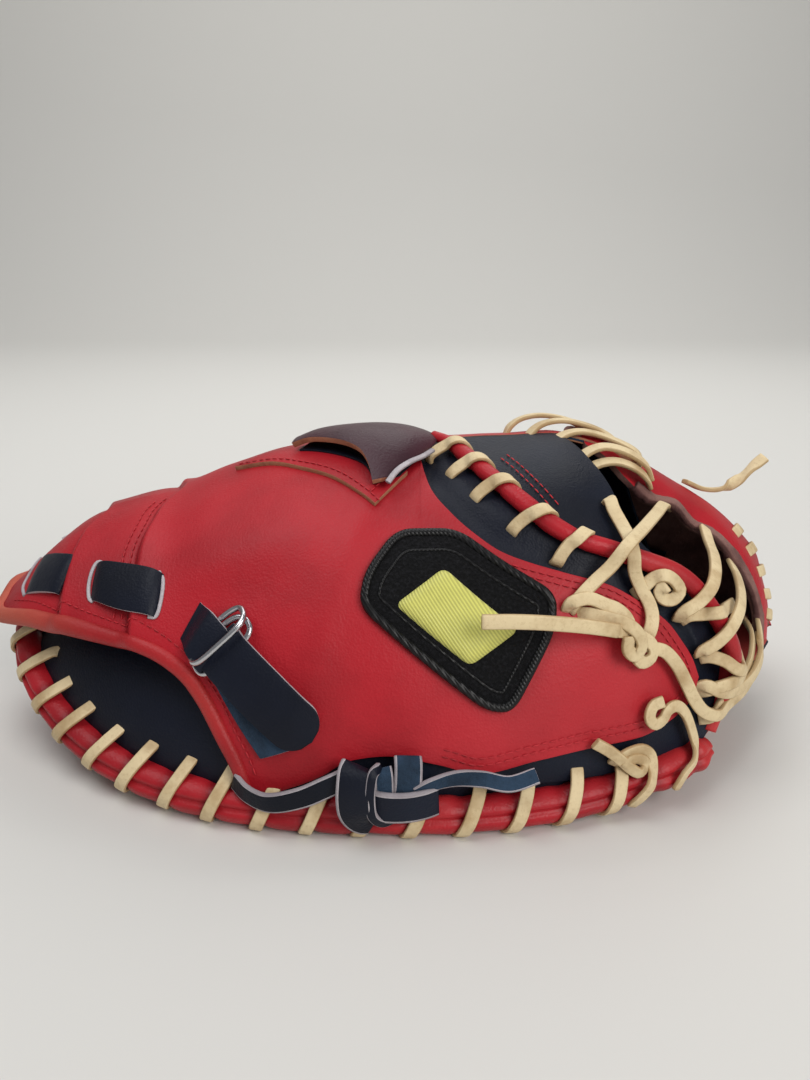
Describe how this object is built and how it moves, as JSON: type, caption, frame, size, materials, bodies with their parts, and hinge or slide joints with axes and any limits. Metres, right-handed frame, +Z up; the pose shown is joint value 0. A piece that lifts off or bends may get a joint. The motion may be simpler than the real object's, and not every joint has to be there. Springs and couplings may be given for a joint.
{
  "type": "baseball glove",
  "caption": "Catcher's mitt in red and navy leather resting on its rim, with laced edge roll, web, felt patch, index-finger hood and a buckled wrist strap.",
  "frame": {"origin": "on the table under the middle of the mitt", "axes": "+X from the wrist to the web, -Y the thumb side, +Y the finger side, +Z up through the back of the mitt, which lies palm down"},
  "size_m": [0.3445, 0.2078, 0.1364],
  "materials": {
    "red_leather": "satin, fine grain",
    "navy_leather": "satin, fine grain",
    "palm_leather": "satin",
    "pad_felt": "matt wool felt",
    "rawhide_lace": "matt, with darker cut edges",
    "ring_chrome": "polished",
    "hood_leather": "satin",
    "patch_felt": "matt felt",
    "emblem_thread": "satin stitch"
  },
  "bodies": {
    "finger_half": {"finger_back_panel": "red_leather", "finger_lining": "navy_leather", "finger_felt_pad": "pad_felt", "finger_palm_leather": "palm_leather", "finger_heel_leather": "navy_leather", "finger_edge_roll": "red_leather", "finger_edge_lace": "rawhide_lace", "finger_lip_binding": "red_leather", "wrist_strap_far": "navy_leather", "web_panel": "red_leather", "web_lace_finger": "rawhide_lace", "lace_tail_far": "rawhide_lace"},
    "thumb_half": {"thumb_back_panel": "red_leather", "thumb_lining": "navy_leather", "thumb_felt_pad": "pad_felt", "thumb_palm_leather": "palm_leather", "thumb_heel_leather": "navy_leather", "thumb_edge_roll": "red_leather", "thumb_edge_lace": "rawhide_lace", "thumb_lip_binding": "red_leather", "crotch_roll": "red_leather", "crotch_lace": "rawhide_lace", "wrist_strap_near": "navy_leather", "strap_under_tab": "navy_leather", "hood_reinforcement": "red_leather", "felt_patch": "patch_felt", "patch_emblem": "emblem_thread", "web_lace_thumb": "rawhide_lace", "web_knot": "rawhide_lace", "rim_knots": "rawhide_lace", "thumb_thong": "navy_leather", "lace_tail_near": "rawhide_lace"},
    "buckle_ring": {"buckle_ring": "ring_chrome"},
    "strap_tail": {"strap_tail": "navy_leather"},
    "index_hood": {"index_hood": "hood_leather"}
  },
  "joints": [
    {"name": "mitt_close", "type": "hinge", "parent": "finger_half", "child": "thumb_half", "pos_m": [0, 0, 0.082], "axis": [1, 0, 0], "range_deg": [-20, 25]},
    {"name": "ring_lift", "type": "hinge", "parent": "thumb_half", "child": "buckle_ring", "pos_m": [-0.06395, -0.08117, 0.07456], "axis": [-0.7757, -0.3169, -0.5457], "range_deg": [0, 20]},
    {"name": "tail_lift", "type": "hinge", "parent": "thumb_half", "child": "strap_tail", "pos_m": [-0.0525, -0.08847, 0.06058], "axis": [-0.7694, -0.2649, -0.5813], "range_deg": [0, 40]},
    {"name": "hood_flex", "type": "hinge", "parent": "thumb_half", "child": "index_hood", "pos_m": [0.016, -0.03, 0.1195], "axis": [0, 1, 0], "range_deg": [0, 12]}
  ]
}
